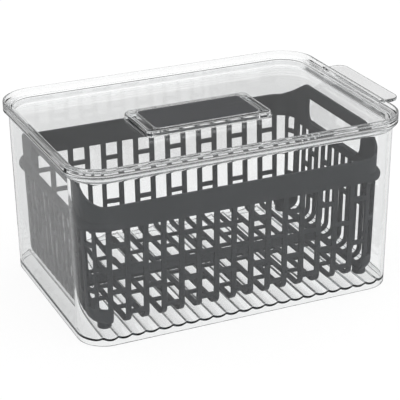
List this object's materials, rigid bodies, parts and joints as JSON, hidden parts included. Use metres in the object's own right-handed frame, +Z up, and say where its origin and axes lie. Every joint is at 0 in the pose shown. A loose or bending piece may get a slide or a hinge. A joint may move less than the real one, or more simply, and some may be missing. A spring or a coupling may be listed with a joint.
{
  "type": "refrigerator bin with draining basket",
  "caption": "Clear lidded refrigerator storage bin with a ribbed floor and a lift-out slatted draining basket with end handles.",
  "frame": {"origin": "middle of the overall length and width, on the surface that the bin stands on", "axes": "+X along the long side towards the lid's lift tab, +Y to the back long side, +Z up"},
  "size_m": [0.325, 0.2118, 0.161],
  "materials": {
    "clear_bin": "clear polished moulding",
    "clear_lid": "clear polished moulding",
    "dark_plate": "dark grey satin moulding",
    "grey_basket": "charcoal satin moulding"
  },
  "bodies": {
    "bin": {"bin": "clear_bin"},
    "basket": {"basket": "grey_basket"},
    "lid": {"lid": "clear_lid", "lid_plate": "dark_plate"}
  },
  "joints": [
    {"name": "basket_lift", "type": "slide", "parent": "bin", "child": "basket", "axis": [0, 0, 1], "range_m": [0, 0.16]},
    {"name": "lid_lift", "type": "slide", "parent": "basket", "child": "lid", "axis": [0, 0, 1], "range_m": [0, 0.08]}
  ]
}
